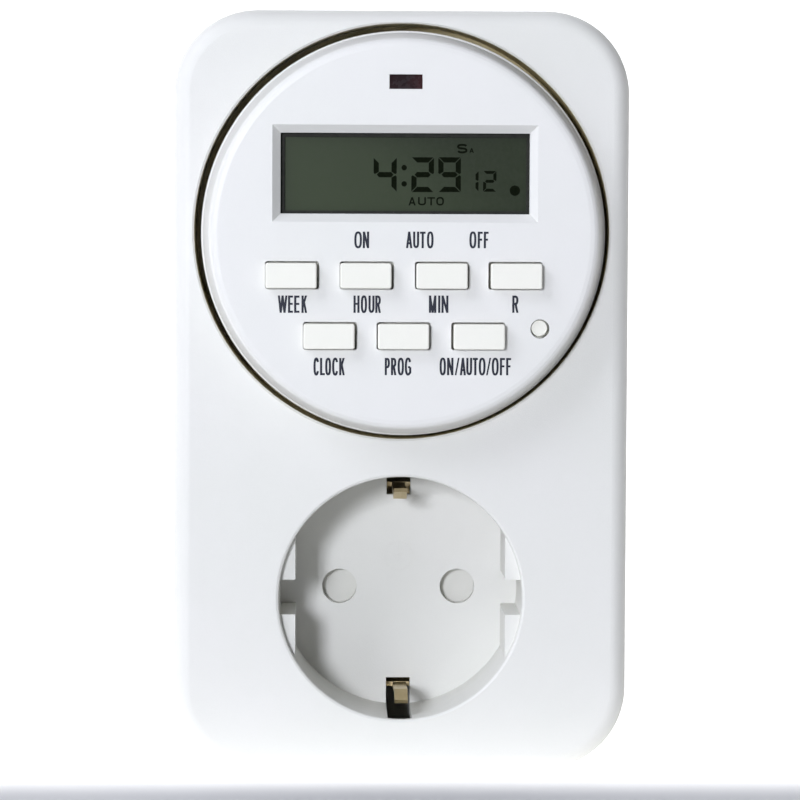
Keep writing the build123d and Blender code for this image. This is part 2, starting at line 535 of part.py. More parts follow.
# ------------------------------------------------------------------------- display
frame = box(lx - 20.6, lx + 20.6, Y_WALL_IN, Y_WALL_IN + 0.4, lz - 7.7, lz + 7.7)
frame -= box(lx - 18.6, lx + 18.75, Y_WALL_IN - 1, Y_WALL_IN + 1, lz - 5.75, lz + 5.6)
parts["lcd_frame"] = frame
parts["lcd_panel"] = box(lx - 20.6, lx + 20.6, Y_WALL_IN + 0.4, Y_WALL_IN + 2.4, lz - 7.7, lz + 7.7)
parts["lcd_reflector"] = box(lx - 19.0, lx + 19.0, Y_WALL_IN + 2.4, Y_WALL_IN + 2.6, lz - 5.4, lz + 5.4)
parts["zebra_strips"] = Compound(children=[
    box(lx - 19.0, lx + 19.0, Y_WALL_IN + 2.4, Y_BOARD0, lz + s * 6.6 - 0.8, lz + s * 6.6 + 0.8)
    for s in (-1, 1)])
lens = box(ex - LED_WIN[0] / 2 + 0.03, ex + LED_WIN[0] / 2 - 0.03, DISC_Y + 0.05, Y_WALL_IN,
           ez - LED_WIN[1] / 2 + 0.03, ez + LED_WIN[1] / 2 - 0.03)
lens += box(ex - 3.3, ex + 3.3, Y_WALL_IN, Y_WALL_IN + 0.6, ez - 1.8, ez + 1.8)
parts["led_window"] = lens
led = cyl(ex, ez, 1.5, -55.1, Y_BOARD0) + Pos(ex, -54.8, ez) * Sphere(1.4)
led += cyl(ex, ez, 1.8, -53.4, Y_BOARD0)
parts["status_led"] = led

# --------------------------------------------------------------------------- boards
control = cyl(DX, DZ, 29.3, Y_BOARD0, Y_BOARD1)
for x, z in module_screw_xz:
    control -= cyl(x, z, 2.45, Y_BOARD0 - 1, Y_BOARD1 + 1)
parts["control_board"] = control
chip = box(DX - 15.0, DX - 5.0, Y_BOARD1, Y_BOARD1 + 1.6, DZ + 2.0, DZ + 12.0)
chip = chamfer(front_edges(chip, Y_BOARD1 + 1.6), 0.4)
for i in range(8):
    for s in (-1, 1):
        z0 = DZ + 2.9 + i * 1.15
        x0 = DX - 10.0 + s * 5.0
        chip += box(x0, x0 + s * 1.1, Y_BOARD1, Y_BOARD1 + 0.25, z0 - 0.2, z0 + 0.2)
parts["microcontroller"] = chip
xtal = Pos(DX - 14.0, Y_BOARD1 + 1.1, DZ - 3.0) * Rot(0, 90, 0) * Cylinder(1.05, 6.2)
xtal = fillet(xtal.edges(), 0.3)
for s in (-1, 1):
    xtal += box(DX - 11.0, DX - 8.6, Y_BOARD1, Y_BOARD1 + 0.3, DZ - 3.0 + s * 0.5 - 0.15, DZ - 3.0 + s * 0.5 + 0.15)
    xtal += box(DX - 11.1, DX - 10.8, Y_BOARD1, Y_BOARD1 + 1.2, DZ - 3.0 + s * 0.5 - 0.15, DZ - 3.0 + s * 0.5 + 0.15)
parts["quartz_crystal"] = xtal
cell = cyl(DX + 11.0, DZ + 6.0, 5.8, Y_BOARD1 + 0.35, Y_BOARD1 + 4.75)
cell = fillet(cell.edges(), 0.5)
parts["backup_battery"] = cell
tabs = box(DX + 8.5, DX + 13.5, Y_BOARD1, Y_BOARD1 + 0.35, DZ - 3.5, DZ + 8.0)
tab2 = box(DX + 8.5, DX + 13.5, Y_BOARD1 + 4.75, Y_BOARD1 + 5.05, DZ + 4.0, DZ + 14.2)
tab2 += box(DX + 8.5, DX + 13.5, Y_BOARD1, Y_BOARD1 + 5.05, DZ + 13.9, DZ + 14.2)
parts["battery_tabs"] = Compound(children=[tabs, tab2])

pad = rr(DX + 0.75, DZ - 11.2, 47.0, 17.0, 3.0, -53.8, Y_BOARD0) & cyl(DX, DZ, 27.9, -54.5, -51.5)
for name, (kx, kz) in KEYS.items():
    sx, sz = KEY_SHIFT[name]
    pad += cone(DX + kx + sx, DZ + kz + sz, 1.3, 2.1, -55.1, -53.8)
pad += cone(DX + RESET_C[0] + RESET_SHIFT[0], DZ + RESET_C[1] + RESET_SHIFT[1],
            0.9, 1.5, -55.1, -53.8)
parts["keypad_membrane"] = pad

ribbon = strip([(DZ - 14.5, Y_BOARD1), (DZ - 14.5, -40.5), (DZ - 12.2, -35.0), (DZ - 10.5, -27.0),
                (DZ - 10.5, PB_Y0)], 0.9, DX - 4.5, DX + 4.5)
for i in range(1, 8):
    gx = DX - 4.5 + i * 9.0 / 8
    ribbon -= strip([(DZ - 14.5 + 0.45, Y_BOARD1 - 0.1), (DZ - 14.5 + 0.45, -40.42), (DZ - 12.2 + 0.42, -34.85),
                     (DZ - 10.5 + 0.44, -26.95), (DZ - 10.5 + 0.45, PB_Y0 + 0.1)], 0.3, gx - 0.12, gx + 0.12)
parts["ribbon_cable"] = ribbon

# ----------------------------------------------------------------------------- keys
for name, (kx, kz) in KEYS.items():
    x, z = DX + kx + KEY_SHIFT[name][0], DZ + kz + KEY_SHIFT[name][1]
    cap_k = rr(x, z, KEY_CAP[0], KEY_CAP[1], 0.35, KEY_Y, -56.25)
    cap_k = fillet(front_edges(cap_k, KEY_Y), 0.22)
    cap_k += rr(x, z, 9.6, 5.4, 0.4, Y_WALL_IN + 0.03, -56.25)
    cap_k += cyl(x, z, 1.3, -56.3, -55.1)
    parts[name] = cap_k
x, z = DX + RESET_C[0] + RESET_SHIFT[0], DZ + RESET_C[1] + RESET_SHIFT[1]
button = cyl(x, z, RESET_R, RESET_Y, -56.25)
button = fillet(front_edges(button, RESET_Y), 0.15)
button += cyl(x, z, 2.1, Y_WALL_IN + 0.03, -56.25) + cyl(x, z, 0.9, -56.3, -55.1)
parts["reset_button"] = button

os.makedirs("parts", exist_ok=True)
for name, shape in parts.items():
    export_step(shape, f"parts/{name}.step")
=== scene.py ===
import bpy
import bmesh
import math
from mathutils import Matrix, Vector


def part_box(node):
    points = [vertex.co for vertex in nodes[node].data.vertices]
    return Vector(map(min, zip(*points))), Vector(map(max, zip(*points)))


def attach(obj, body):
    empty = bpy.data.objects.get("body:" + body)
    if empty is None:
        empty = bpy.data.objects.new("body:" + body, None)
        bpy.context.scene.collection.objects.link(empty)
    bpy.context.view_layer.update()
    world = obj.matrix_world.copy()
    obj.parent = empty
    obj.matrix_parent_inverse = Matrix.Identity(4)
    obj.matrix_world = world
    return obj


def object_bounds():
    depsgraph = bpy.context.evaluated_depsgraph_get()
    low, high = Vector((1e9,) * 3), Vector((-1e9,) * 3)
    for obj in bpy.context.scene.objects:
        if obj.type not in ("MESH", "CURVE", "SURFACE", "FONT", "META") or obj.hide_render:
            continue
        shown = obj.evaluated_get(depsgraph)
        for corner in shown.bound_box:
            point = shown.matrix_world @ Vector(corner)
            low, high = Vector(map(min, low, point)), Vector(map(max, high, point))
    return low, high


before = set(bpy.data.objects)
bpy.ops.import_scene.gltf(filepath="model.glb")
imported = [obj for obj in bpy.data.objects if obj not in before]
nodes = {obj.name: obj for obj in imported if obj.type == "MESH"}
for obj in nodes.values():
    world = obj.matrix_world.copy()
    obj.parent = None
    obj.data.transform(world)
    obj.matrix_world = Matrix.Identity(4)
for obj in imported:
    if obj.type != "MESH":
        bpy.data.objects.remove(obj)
cad_lo, cad_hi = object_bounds()
MM = 0.001
scene = bpy.context.scene

# ------------------------------------------------------------------ places from the frame
face_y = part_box("front_housing")[0].y            # housing front
disc_lo, disc_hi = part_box("module_front")
disc_y = disc_lo.y                               # module front
DX = (disc_lo.x + disc_hi.x) / 2
DZ = (disc_lo.z + disc_hi.z) / 2
lcd_lo, lcd_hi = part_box("lcd_panel")
LX = (lcd_lo.x + lcd_hi.x) / 2
LZ = (lcd_lo.z + lcd_hi.z) / 2
lcd_y = lcd_lo.y


# ------------------------------------------------------------------ node helpers
class Mat:
    """A small helper that builds one procedural material on object coordinates."""

    def __init__(self, name):
        self.m = bpy.data.materials.new(name)
        self.m.use_nodes = True
        self.t = self.m.node_tree
        self.t.nodes.clear()
        self.out = self.add("ShaderNodeOutputMaterial")
        self.b = self.add("ShaderNodeBsdfPrincipled")
        self.link(self.b.outputs["BSDF"], self.out.inputs["Surface"])
        self.co = self.add("ShaderNodeTexCoord").outputs["Object"]

    def add(self, kind, **props):
        n = self.t.nodes.new(kind)
        for k, v in props.items():
            setattr(n, k, v)
        return n

    def link(self, a, b):
        self.t.links.new(a, b)

    def noise(self, scale, detail=3.0, rough=0.55, stretch=None):
        n = self.add("ShaderNodeTexNoise")
        n.inputs["Scale"].default_value = scale
        n.inputs["Detail"].default_value = detail
        n.inputs["Roughness"].default_value = rough
        co = self.co
        if stretch:
            mp = self.add("ShaderNodeMapping")
            mp.inputs["Scale"].default_value = stretch
            self.link(self.co, mp.inputs["Vector"])
            co = mp.outputs["Vector"]
        self.link(co, n.inputs["Vector"])
        return n.outputs["Fac"]

    def ramp(self, fac, stops):
        n = self.add("ShaderNodeValToRGB")
        e = n.color_ramp.elements
        e[0].position, e[0].color = stops[0][0], (*stops[0][1], 1)
        e[1].position, e[1].color = stops[-1][0], (*stops[-1][1], 1)
        for p, c in stops[1:-1]:
            k = e.new(p)
            k.color = (*c, 1)
        self.link(fac, n.inputs["Fac"])
        return n.outputs["Color"]

    def maprange(self, v, a, b, c, d, smooth=False):
        n = self.add("ShaderNodeMapRange")
        if smooth:
            n.interpolation_type = "SMOOTHSTEP"
        for i, x in enumerate((a, b, c, d)):
            n.inputs[i + 1].default_value = x
        self.link(v, n.inputs[0])
        return n.outputs[0]

    def math(self, op, a, b=None):
        n = self.add("ShaderNodeMath", operation=op)
        for i, v in enumerate((a, b)):
            if v is None:
                continue
            if isinstance(v, (int, float)):
                n.inputs[i].default_value = v
            else:
                self.link(v, n.inputs[i])
        return n.outputs[0]

    def mix(self, fac, a, b, blend="MIX"):
        n = self.add("ShaderNodeMix", data_type="RGBA", blend_type=blend)
        if isinstance(fac, (int, float)):
            n.inputs[0].default_value = fac
        else:
            self.link(fac, n.inputs[0])
        for i, v in ((6, a), (7, b)):
            if isinstance(v, tuple):
                n.inputs[i].default_value = (*v, 1)
            else:
                self.link(v, n.inputs[i])
        return n.outputs[2]

    def bump(self, height, distance, strength=1.0, normal=None):
        n = self.add("ShaderNodeBump")
        n.inputs["Strength"].default_value = strength
        n.inputs["Distance"].default_value = distance
        self.link(height, n.inputs["Height"])
        if normal is not None:
            self.link(normal, n.inputs["Normal"])
        return n.outputs["Normal"]

    def axes(self):
        n = self.add("ShaderNodeSeparateXYZ")
        self.link(self.co, n.inputs[0])
        return n.outputs

    def set(self, **k):
        for name, v in k.items():
            s = self.b.inputs[name.replace("_", " ")]
            if isinstance(v, (int, float)):
                s.default_value = v
            elif isinstance(v, tuple):
                s.default_value = (*v, 1)
            else:
                self.link(v, s)
        return self


def srgb(r, g, b):
    return tuple(((c / 255 + 0.055) / 1.055) ** 2.4 if c > 10.3 else c / 255 / 12.92 for c in (r, g, b))


def shade(c, k):
    return tuple(x * k for x in c)


def moulded(name, colour, rough=0.42, grain=0.000012, variation=0.02, spec=0.4, tint=(0.99, 1.0, 0.985)):
    """Injection-moulded plastic: faint flow variation, spark-eroded micro texture, uneven gloss."""
    m = Mat(name)
    broad = m.noise(38, 3, 0.6)
    low = tuple(x * (1 - 1.6 * variation) * t for x, t in zip(colour, tint))
    col = m.ramp(broad, [(0.32, low), (0.68, colour)])
    fine = m.noise(5200, 2, 0.7)
    col = m.mix(m.maprange(fine, 0.35, 0.65, 0.0, 0.06), col, shade(colour, 0.8))
    r = m.maprange(m.noise(420, 4, 0.6), 0.3, 0.7, rough - 0.05, rough + 0.06)
    n = m.bump(m.noise(160, 2, 0.5), 0.00001, 0.25)
    n = m.bump(fine, grain, 1.0, n)
    m.set(Base_Color=col, Roughness=r, Specular_IOR_Level=spec, Normal=n)
    return m


def metal(name, colour, rough=0.28, brush=(1, 1, 1), dull=None, amount=0.35):
    """Rolled or plated metal: drawn streaks, tarnish patches and uneven polish."""
    m = Mat(name)
    streak = m.noise(900, 4, 0.65, brush)
    patch = m.noise(260, 4, 0.65)
    dull = dull or shade(colour, 0.55)
    col = m.mix(m.maprange(patch, 0.45, 0.75, 0.0, amount), colour, dull)
    col = m.mix(m.maprange(streak, 0.3, 0.7, 0.0, 0.25), col, shade(colour, 0.78))
    r = m.maprange(streak, 0.25, 0.75, rough - 0.07, rough + 0.12)
    m.set(Base_Color=col, Metallic=1.0, Roughness=r, Normal=m.bump(streak, 0.000008, 0.8))
    return m


def assign(mat, *names):
    for n in names:
        o = nodes[n]
        if not o.data.materials:
            o.data.materials.append(mat.m)
        for i in range(len(o.data.materials)):
            o.data.materials[i] = mat.m


# ------------------------------------------------------------------ white plastics
WHITE = (0.700, 0.692, 0.652)

housing = moulded("housing_abs", WHITE, rough=0.46, grain=0.00002, variation=0.012)
# painted shade: the wall of the module's opening gets a darker, more yellow olive tone than the face, standing in for
# the shade in the gap around the module
ax = housing.axes()
rx, rz = housing.math("SUBTRACT", ax[0], DX), housing.math("SUBTRACT", ax[2], DZ)
rad = housing.math("SQRT", housing.math("ADD", housing.math("MULTIPLY", rx, rx), housing.math("MULTIPLY", rz, rz)), 0.0)
opening_wall_shade = housing.math("MULTIPLY", housing.maprange(rad, 0.0325, 0.0330, 1.0, 0.0),
                      housing.maprange(ax[1], face_y + 0.0002, face_y + 0.0012, 0.0, 1.0))
base_in = housing.b.inputs["Base Color"]
plain_col = base_in.links[0].from_socket
# mix the painted olive shade into the colour of the opening's wall
housing.link(housing.mix(opening_wall_shade, plain_col, (0.68, 0.58, 0.32)), base_in)
assign(housing, "front_housing", "rear_housing")

module = moulded("module_abs", (0.716, 0.708, 0.676), rough=0.40, grain=0.000012, variation=0.010)
assign(module, "module_front")

keys = moulded("key_abs", (0.795, 0.782, 0.700), rough=0.36, grain=0.000008, variation=0.012)
assign(keys, "week_key", "hour_key", "minute_key", "random_key", "clock_key", "program_key", "mode_key",
       "reset_button")

assign(moulded("shutter_pom", (0.66, 0.65, 0.60), rough=0.4), "safety_shutter")
assign(moulded("carrier_nylon", srgb(214, 208, 190), rough=0.5), "contact_carrier", "module_back")
assign(moulded("bobbin_nylon", srgb(236, 232, 220), rough=0.45), "relay_bobbin")

# ------------------------------------------------------------------ display
m = Mat("lcd_glass")
ax = m.axes()
# painted shade: the panel is lighter at the lower left and darker at the upper right, standing in for how the light
# falls across the display
lcd_shade_across = m.maprange(ax[0], LX - 0.0186, LX + 0.0186, 0.0, 1.0)
lcd_shade_down = m.maprange(ax[2], LZ - 0.006, LZ + 0.006, 0.0, 0.35)
col = m.ramp(m.math("ADD", lcd_shade_across, lcd_shade_down), [(0.0, (0.030, 0.044, 0.018)), (0.6, (0.026, 0.038, 0.016)),
                                           (1.0, (0.014, 0.022, 0.008))])
grainy = m.noise(1500, 3, 0.7)
col = m.mix(m.maprange(grainy, 0.3, 0.7, 0.0, 0.22), col, (0.035, 0.040, 0.026))
m.set(Base_Color=col, Roughness=m.maprange(m.noise(700, 3), 0.3, 0.7, 0.34, 0.46), Specular_IOR_Level=0.16,
      Normal=m.bump(grainy, 0.000004, 0.5))
lcd_glass = m
assign(m, "lcd_panel")

m = Mat("lcd_ink")
m.set(Base_Color=m.mix(m.maprange(m.noise(2600, 2), 0.35, 0.65, 0.0, 1.0), (0.004, 0.006, 0.003), (0.006, 0.008, 0.004)),
      Roughness=0.7, Specular_IOR_Level=0.0)
lcd_ink = m

m = Mat("lcd_black_gasket")
m.set(Base_Color=m.ramp(m.noise(900, 3), [(0.3, (0.008, 0.009, 0.006)), (0.7, (0.016, 0.017, 0.012))]),
      Roughness=0.6, Specular_IOR_Level=0.2, Normal=m.bump(m.noise(3000, 2), 0.00001, 0.6))
assign(m, "lcd_frame")

m = Mat("reflector_film")
m.set(Base_Color=m.ramp(m.noise(1200, 2), [(0.3, (0.42, 0.44, 0.40)), (0.7, (0.50, 0.52, 0.48))]), Metallic=0.7,
      Roughness=m.maprange(m.noise(400, 3), 0.3, 0.7, 0.3, 0.45))
assign(m, "lcd_reflector")

m = Mat("zebra_silicone")
w = m.add("ShaderNodeTexWave", wave_type="BANDS", bands_direction="X")
w.inputs["Scale"].default_value = 1600
m.link(m.co, w.inputs["Vector"])
m.set(Base_Color=m.ramp(w.outputs["Fac"], [(0.4, (0.02, 0.02, 0.02)), (0.6, (0.45, 0.42, 0.4))]), Roughness=0.7)
assign(m, "zebra_strips")

# ------------------------------------------------------------------ dark red LED window
m = Mat("led_window_red")
ax = m.axes()
# painted highlight: the window is darkest a little right of its middle and lighter at its right end
led_highlight_ramp = m.maprange(ax[0], DX - 0.0023, DX + 0.0028, 0.0, 1.0)
col = m.ramp(m.math("ADD", led_highlight_ramp, m.maprange(m.noise(700, 3), 0.3, 0.7, -0.12, 0.12)),
             [(0.0, (0.014, 0.003, 0.004)), (0.55, (0.010, 0.003, 0.004)), (1.0, (0.030, 0.005, 0.006))])
m.set(Base_Color=col, Roughness=m.maprange(m.noise(1500, 2), 0.3, 0.7, 0.2, 0.32), Specular_IOR_Level=0.20)
assign(m, "led_window")

m = Mat("led_epoxy_red")
m.set(Base_Color=m.ramp(m.noise(900, 3), [(0.3, (0.42, 0.02, 0.02)), (0.7, (0.55, 0.03, 0.03))]), Roughness=0.15,
      Coat_Weight=0.4)
assign(m, "status_led")

# ------------------------------------------------------------------ metals
assign(metal("contact_brass", (0.58, 0.47, 0.27), rough=0.34, brush=(1, 0.08, 0.08), dull=(0.20, 0.15, 0.07)),
       "upper_earth_clip", "lower_earth_clip", "earth_bridge")
assign(metal("spring_brass", (0.74, 0.56, 0.26), rough=0.3, brush=(1, 0.1, 1)), "line_socket_contact",
       "neutral_socket_contact", "relay_contact_spring", "relay_fixed_contacts")
assign(metal("nickel_plate", (0.66, 0.65, 0.62), rough=0.22, brush=(1, 0.1, 1), amount=0.2), "line_plug_pin",
       "neutral_plug_pin", "battery_tabs")
assign(metal("zinc_steel", (0.52, 0.53, 0.55), rough=0.34, amount=0.3), "housing_screws", "carrier_screws",
       "board_screws", "module_screws")
assign(metal("spring_wire", (0.50, 0.50, 0.50), rough=0.25), "shutter_spring")
assign(metal("soft_iron", (0.42, 0.42, 0.42), rough=0.38), "relay_yoke", "relay_armature")
assign(metal("can_steel", (0.62, 0.62, 0.63), rough=0.2, amount=0.15), "backup_battery", "quartz_crystal")

m = Mat("copper_winding")
w = m.add("ShaderNodeTexWave", wave_type="BANDS", bands_direction="Y")
w.inputs["Scale"].default_value = 1450
w.inputs["Distortion"].default_value = 0.6
m.link(m.co, w.inputs["Vector"])
m.set(Base_Color=m.ramp(w.outputs["Fac"], [(0.1, (0.16, 0.035, 0.012)), (0.7, (0.62, 0.20, 0.08))]), Metallic=0.9,
      Roughness=0.3, Normal=m.bump(w.outputs["Fac"], 0.00004, 0.8))
assign(m, "relay_winding")


# ------------------------------------------------------------------ boards and components
def laminate(name, base, trace, scale):
    m = Mat(name)
    v = m.add("ShaderNodeTexVoronoi", feature="DISTANCE_TO_EDGE", distance="MANHATTAN")
    v.inputs["Scale"].default_value = scale
    m.link(m.co, v.inputs["Vector"])
    line = m.maprange(v.outputs["Distance"], 0.03, 0.07, 1.0, 0.0)
    weave = m.noise(2400, 3, 0.6)
    col = m.mix(line, m.ramp(weave, [(0.3, shade(base, 0.85)), (0.7, base)]), trace)
    m.set(Base_Color=col, Roughness=m.maprange(weave, 0.3, 0.7, 0.32, 0.5), Normal=m.bump(line, 0.00003, 0.6))
    return m


assign(laminate("phenolic_board", (0.30, 0.17, 0.07), (0.42, 0.25, 0.10), 210), "power_board")
assign(laminate("green_board", (0.015, 0.10, 0.035), (0.03, 0.20, 0.07), 420), "control_board")


def coated(name, colour, rough=0.4, scale=600, stretch=None, depth=0.00001):
    m = Mat(name)
    n = m.noise(scale, 3, 0.6, stretch)
    m.set(Base_Color=m.ramp(n, [(0.3, shade(colour, 0.82)), (0.7, colour)]),
          Roughness=m.maprange(m.noise(scale * 0.4, 3), 0.3, 0.7, rough - 0.06, rough + 0.08),
          Normal=m.bump(n, depth, 0.7))
    return m


assign(coated("chip_epoxy", (0.022, 0.022, 0.024), 0.55, 4000), "microcontroller", "relay_transistor",
       "rectifier_diodes")
assign(coated("relay_blue", (0.03, 0.09, 0.30), 0.32, 1500), "relay_case", "relay_base")
assign(coated("film_yellow", (0.72, 0.50, 0.05), 0.35, 900), "film_capacitor")
assign(coated("sleeve_dark_blue", (0.02, 0.035, 0.11), 0.22, 500), "electrolytic_capacitor")
assign(coated("varistor_blue", (0.03, 0.13, 0.36), 0.3, 1200, None, 0.00003), "varistor")
assign(coated("fuse_sleeve", (0.55, 0.54, 0.48), 0.5, 1800), "thermal_fuse")
assign(coated("keypad_silicone", (0.42, 0.43, 0.44), 0.6, 1400), "keypad_membrane")
assign(coated("wire_brown", (0.11, 0.045, 0.02), 0.35, 1500), "line_in_wire")
assign(coated("wire_black", (0.02, 0.02, 0.02), 0.35, 1500), "switched_line_wire")
assign(coated("wire_blue", (0.02, 0.08, 0.32), 0.35, 1500), "neutral_wire")

m = Mat("resistor_bands")
w = m.add("ShaderNodeTexWave", wave_type="BANDS", bands_direction="X")
w.inputs["Scale"].default_value = 190
m.link(m.co, w.inputs["Vector"])
m.set(Base_Color=m.ramp(w.outputs["Fac"], [(0.0, (0.55, 0.42, 0.25)), (0.72, (0.55, 0.42, 0.25)), (0.80, (0.20, 0.04, 0.02)),
                                           (1.0, (0.10, 0.03, 0.02))]), Roughness=0.4,
      Normal=m.bump(m.noise(2000, 2), 0.00001, 0.6))
assign(m, "resistors")

m = Mat("ribbon_grey")
w = m.add("ShaderNodeTexWave", wave_type="BANDS", bands_direction="X")
w.inputs["Scale"].default_value = 280
m.link(m.co, w.inputs["Vector"])
m.set(Base_Color=m.ramp(w.outputs["Fac"], [(0.2, (0.30, 0.30, 0.31)), (0.8, (0.48, 0.48, 0.49))]), Roughness=0.45,
      Normal=m.bump(w.outputs["Fac"], 0.00005, 0.5))
assign(m, "ribbon_cable")


# ------------------------------------------------------------------ flat closed shapes on a face
def new_piece(name, mat, slot_name, body="housing"):
    mesh = bpy.data.meshes.new(name)
    o = bpy.data.objects.new(name, mesh)
    scene.collection.objects.link(o)
    mesh.materials.append(mat.m)
    return o


def prism(bm, outline, y, t):
    """A closed thin solid: outline is a list of (x, z) in metres; its front lies at y - t and its back at y."""
    area = sum(a[0] * b[1] - b[0] * a[1] for a, b in zip(outline, outline[1:] + outline[:1]))
    if area < 0:
        outline = outline[::-1]
    f = [bm.verts.new((x, y - t, z)) for x, z in outline]
    k = [bm.verts.new((x, y, z)) for x, z in outline]
    bm.faces.new(f)
    bm.faces.new(k[::-1])
    n = len(f)
    for i in range(n):
        j = (i + 1) % n
        bm.faces.new((f[j], f[i], k[i], k[j]))


def ring_prism(bm, outer, inner, y, t):
    """A closed thin ring between two outlines with the same number of points."""
    n = len(outer)
    of = [bm.verts.new((x, y - t, z)) for x, z in outer]
    ob = [bm.verts.new((x, y, z)) for x, z in outer]
    inf = [bm.verts.new((x, y - t, z)) for x, z in inner]
    inb = [bm.verts.new((x, y, z)) for x, z in inner]
    for i in range(n):
        j = (i + 1) % n
        bm.faces.new((of[i], of[j], inf[j], inf[i]))
        bm.faces.new((ob[j], ob[i], inb[i], inb[j]))
        bm.faces.new((of[j], of[i], ob[i], ob[j]))
        bm.faces.new((inf[i], inf[j], inb[j], inb[i]))


def finish_mesh(o, bm):
    bmesh.ops.remove_doubles(bm, verts=bm.verts, dist=1e-8)
    bmesh.ops.recalc_face_normals(bm, faces=bm.faces)
    bm.to_mesh(o.data)
    bm.free()


def ribbon(points, w, closed=False):
    """Outline of a stroke of width w along points, mitred with a limit. Returns (outer, inner) if closed."""
    n = len(points)
    left, right = [], []
    for i in range(n):
        p = Vector(points[i])
        prev = Vector(points[i - 1]) if (i > 0 or closed) else None
        nxt = Vector(points[(i + 1) % n]) if (i < n - 1 or closed) else None
        d0 = (p - prev).normalized() if prev is not None else None
        d1 = (nxt - p).normalized() if nxt is not None else None
        if d0 is None:
            d0 = d1
        if d1 is None:
            d1 = d0
        n0, n1 = Vector((-d0.y, d0.x)), Vector((-d1.y, d1.x))
        mid = (n0 + n1)
        if mid.length < 1e-6:
            mid = n0
        mid.normalize()
        k = min(1 / max(mid.dot(n0), 1e-3), 2.2)
        left.append(tuple(p + mid * w / 2 * k))
        right.append(tuple(p - mid * w / 2 * k))
    if closed:
        return left, right
    return left + right[::-1]


def arc(cx, cz, rx, rz, a0, a1, n=10, power=2.4):
    """Points on a superellipse, squarer than an ellipse, as condensed lettering has."""
    pts = []
    for i in range(n + 1):
        a = math.radians(a0 + (a1 - a0) * i / n)
        c, s = math.cos(a), math.sin(a)
        pts.append((cx + rx * math.copysign(abs(c) ** (2 / power), c),
                    cz + rz * math.copysign(abs(s) ** (2 / power), s)))
    return pts


# Strokes of each letter in a unit box, x 0..1 and z 0..1: upright bars, level bars, slanted bars cut level at their
# ends, and curved ribbons.
GLYPHS = {
    "N": [("v", 0), ("v", 1), ("d", (0, 1), (1, 0))],
    "A": [("d", (0, 0), (0.5, 1)), ("d", (1, 0), (0.5, 1)), ("h", 0.26, 0.2, 0.8)],
    "U": [("c", [(0, 1.2)] + arc(0.5, 0.3, 0.5, 0.3, 180, 360) + [(1, 1.2)])],
    "T": [("h", 1, -0.5, 1.5), ("v", 0.5)],
    "F": [("v", 0), ("h", 1, 0, 1.5), ("h", 0.52, 0, 1.2)],
    "W": [("d", (0, 1), (0.25, 0)), ("d", (0.25, 0), (0.5, 1)), ("d", (0.5, 1), (0.75, 0)), ("d", (0.75, 0), (1, 1))],
    "E": [("v", 0), ("h", 1, 0, 1.5), ("h", 0.52, 0, 1.3), ("h", 0, 0, 1.5)],
    "K": [("v", 0), ("d", (0.08, 0.36), (0.98, 1)), ("d", (0.42, 0.62), (1, 0))],
    "H": [("v", 0), ("v", 1), ("h", 0.52, 0, 1)],
    "R": [("v", 0), ("c", [(0, 1), (0.45, 1)] + arc(0.45, 0.76, 0.5, 0.24, 90, -90, 8)[1:] + [(0, 0.52)]),
          ("d", (0.5, 0.54), (0.98, 0))],
    "M": [("v", 0), ("v", 1), ("d", (0, 1), (0.5, 0)), ("d", (0.5, 0), (1, 1))],
    "I": [("v", 0.5)],
    "L": [("v", 0), ("h", 0, 0, 1.5)],
    "P": [("v", 0), ("c", [(0, 1), (0.45, 1)] + arc(0.45, 0.73, 0.52, 0.27, 90, -90, 8)[1:] + [(0, 0.46)])],
    "C": [("c", arc(0.5, 0.5, 0.5, 0.53, 30, 330, 20))],
    "G": [("c", arc(0.5, 0.5, 0.5, 0.53, 30, 300, 18) + [(1, 0.1), (1, 0.46)]), ("h", 0.46, 0.5, 1)],
    "S": [("c", arc(0.5, 0.76, 0.5, 0.24, 15, 270, 10) + arc(0.5, 0.26, 0.5, 0.26, 90, -165, 10)[1:])],
    "/": [("d", (0, 0), (1, 1))],
}


def glyph(bm, ch, x0, x1, z0, z1, w, y, t):
    """One letter whose ink fills x0..x1 and z0..z1, in metres."""
    h = w / 2
    ax0, ax1, az0, az1 = x0 + h, x1 - h, z0 + h, z1 - h
    if ch == "O":
        pts = arc((ax0 + ax1) / 2, (az0 + az1) / 2, (ax1 - ax0) / 2, (az1 - az0) / 2 + w * 0.1, 0, 360, 28, 2.6)[:-1]
        outer, inner = ribbon(pts, w, True)
        ring_prism(bm, outer, inner, y, t)
        return

    def ax(k):
        return ax0 + (ax1 - ax0) * k

    def az(k):
        return az0 + (az1 - az0) * k

    for i, stroke in enumerate(GLYPHS[ch]):
        kind, rest = stroke[0], stroke[1:]
        thick = t + 0.0000004 * i          # each bar a hair thicker than the last, so no two faces share a plane
        if kind == "v":
            x = ax(rest[0])
            prism(bm, [(x - h, z0), (x + h, z0), (x + h, z1), (x - h, z1)], y, thick)
        elif kind == "h":
            z, xa, xb = az(rest[0]), ax(rest[1]), ax(rest[2])
            xa, xb = max(xa, x0), min(xb, x1)
            prism(bm, [(xa, z - h * 0.92), (xb, z - h * 0.92), (xb, z + h * 0.92), (xa, z + h * 0.92)], y, thick)
        elif kind == "d":
            (ua, va), (ub, vb) = rest
            xa, xb = ax(ua), ax(ub)
            za = z0 if va == 0 else z1 if va == 1 else az(va)
            zb = z0 if vb == 0 else z1 if vb == 1 else az(vb)
            slope = abs(zb - za) / math.hypot(zb - za, xb - xa)
            k = min(h / max(slope, 0.3), w) * 0.96
            prism(bm, [(xa - k, za), (xa + k, za), (xb + k, zb), (xb - k, zb)], y, thick)
        else:
            pts = [(ax(a), min(az(b), z1)) for a, b in rest[0]]
            prism(bm, ribbon(pts, w), y, thick)


